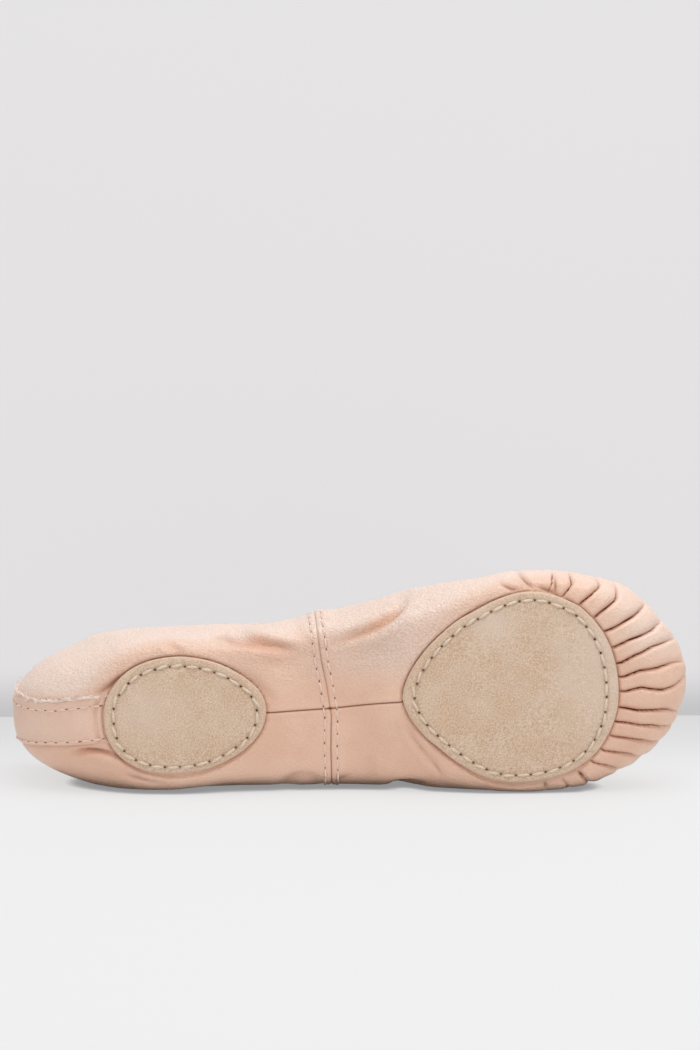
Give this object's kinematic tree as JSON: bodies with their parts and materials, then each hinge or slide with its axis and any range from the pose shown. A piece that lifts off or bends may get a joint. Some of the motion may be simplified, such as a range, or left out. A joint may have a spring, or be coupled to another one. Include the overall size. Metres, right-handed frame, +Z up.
{
  "type": "split-sole ballet slipper",
  "caption": "Soft pink leather ballet slipper lying on its side, with a suede patch under the forefoot and another under the heel, an arch seam between them and a toe gathered into pleats.",
  "frame": {"origin": "middle of the slipper's box, on the floor that its side rests on", "axes": "+X from heel to toe, +Z up from the floor, +Y from the sole towards the collar opening"},
  "size_m": [0.1886, 0.0488, 0.0605],
  "materials": {
    "pink_leather": "soft fine-grained leather, satin",
    "strip_leather": "soft fine-grained leather with a raw cut edge",
    "beige_suede": "suede nap, matte",
    "insole_cotton": "plain woven cotton, matte"
  },
  "bodies": {
    "root": {"upper": "pink_leather", "forefoot_sole": "beige_suede", "heel_sole": "beige_suede", "heel_strip": "strip_leather", "insole": "insole_cotton"}
  },
  "joints": []
}
